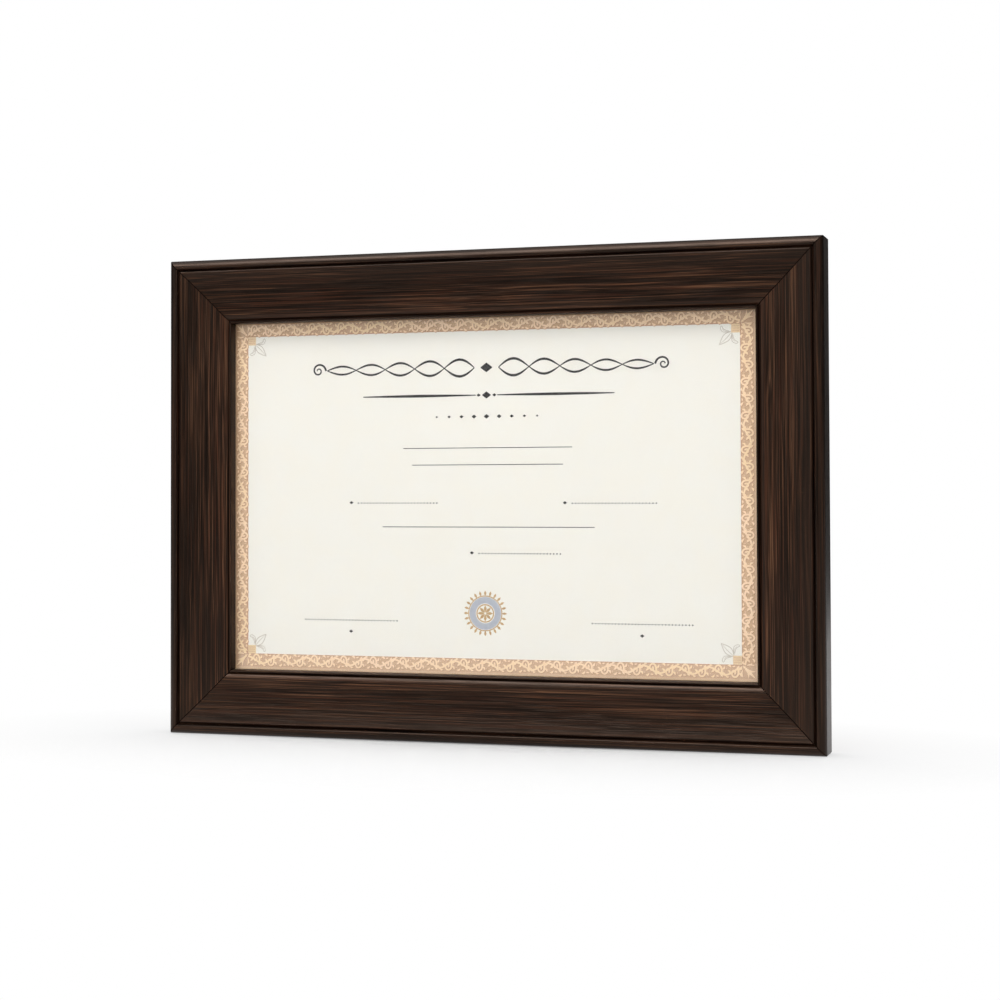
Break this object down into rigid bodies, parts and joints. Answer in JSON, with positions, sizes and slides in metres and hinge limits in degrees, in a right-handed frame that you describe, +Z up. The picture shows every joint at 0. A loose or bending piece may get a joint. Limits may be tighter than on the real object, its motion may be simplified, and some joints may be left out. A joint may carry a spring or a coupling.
{
  "type": "certificate frame",
  "caption": "Landscape certificate frame with mitred dark wood-grain moulding, glazed sheet, turn-button back, fold-out strut leg and sawtooth wall hanger.",
  "frame": {"origin": "middle of the frame's bottom edge, halfway through its depth, on the surface it stands on", "axes": "+X to the right seen from the front, +Y to the back, +Z up; the certificate faces -Y"},
  "size_m": [0.361, 0.0249, 0.261],
  "materials": {
    "dark_wood": "satin dark brown wood grain",
    "hardboard": "smooth brown hardboard",
    "grey_card": "matt card",
    "certificate_paper": "cream paper, tan printed border",
    "clear_glass": "clear, polished",
    "zinc_steel": "zinc plated",
    "brass_plate": "brass plated"
  },
  "bodies": {
    "frame": {"top_rail": "dark_wood", "bottom_rail": "dark_wood", "left_rail": "dark_wood", "right_rail": "dark_wood", "corner_v_nails": "zinc_steel", "glass_pane": "clear_glass", "certificate_sheet": "certificate_paper", "filler_board": "grey_card", "back_panel": "hardboard", "hinge_leaf": "zinc_steel", "hinge_pin": "zinc_steel", "leaf_rivets": "zinc_steel", "turn_button_screws": "zinc_steel", "sawtooth_hanger": "brass_plate", "hanger_nails": "brass_plate"},
    "strut": {"strut_leg": "hardboard", "hinge_bracket": "zinc_steel", "bracket_rivets": "zinc_steel"},
    "turn_button_bottom_left": {"turn_button_bottom_left": "zinc_steel"},
    "turn_button_bottom_right": {"turn_button_bottom_right": "zinc_steel"},
    "turn_button_top_left": {"turn_button_top_left": "zinc_steel"},
    "turn_button_top_right": {"turn_button_top_right": "zinc_steel"},
    "turn_button_left": {"turn_button_left": "zinc_steel"},
    "turn_button_right": {"turn_button_right": "zinc_steel"}
  },
  "joints": [
    {"name": "strut_fold", "type": "hinge", "parent": "frame", "child": "strut", "pos_m": [0, 0.01175, 0.185], "axis": [1, 0, 0], "range_deg": [0, 20]},
    {"name": "turn_button_bottom_left_turn", "type": "hinge", "parent": "frame", "child": "turn_button_bottom_left", "pos_m": [-0.08, 0.0107, 0.02275], "axis": [0, 1, 0], "continuous": true},
    {"name": "turn_button_bottom_right_turn", "type": "hinge", "parent": "frame", "child": "turn_button_bottom_right", "pos_m": [0.08, 0.0107, 0.02275], "axis": [0, 1, 0], "continuous": true},
    {"name": "turn_button_top_left_turn", "type": "hinge", "parent": "frame", "child": "turn_button_top_left", "pos_m": [-0.08, 0.0107, 0.23825], "axis": [0, 1, 0], "continuous": true},
    {"name": "turn_button_top_right_turn", "type": "hinge", "parent": "frame", "child": "turn_button_top_right", "pos_m": [0.08, 0.0107, 0.23825], "axis": [0, 1, 0], "continuous": true},
    {"name": "turn_button_left_turn", "type": "hinge", "parent": "frame", "child": "turn_button_left", "pos_m": [-0.15775, 0.0107, 0.1305], "axis": [0, 1, 0], "continuous": true},
    {"name": "turn_button_right_turn", "type": "hinge", "parent": "frame", "child": "turn_button_right", "pos_m": [0.15775, 0.0107, 0.1305], "axis": [0, 1, 0], "continuous": true}
  ]
}
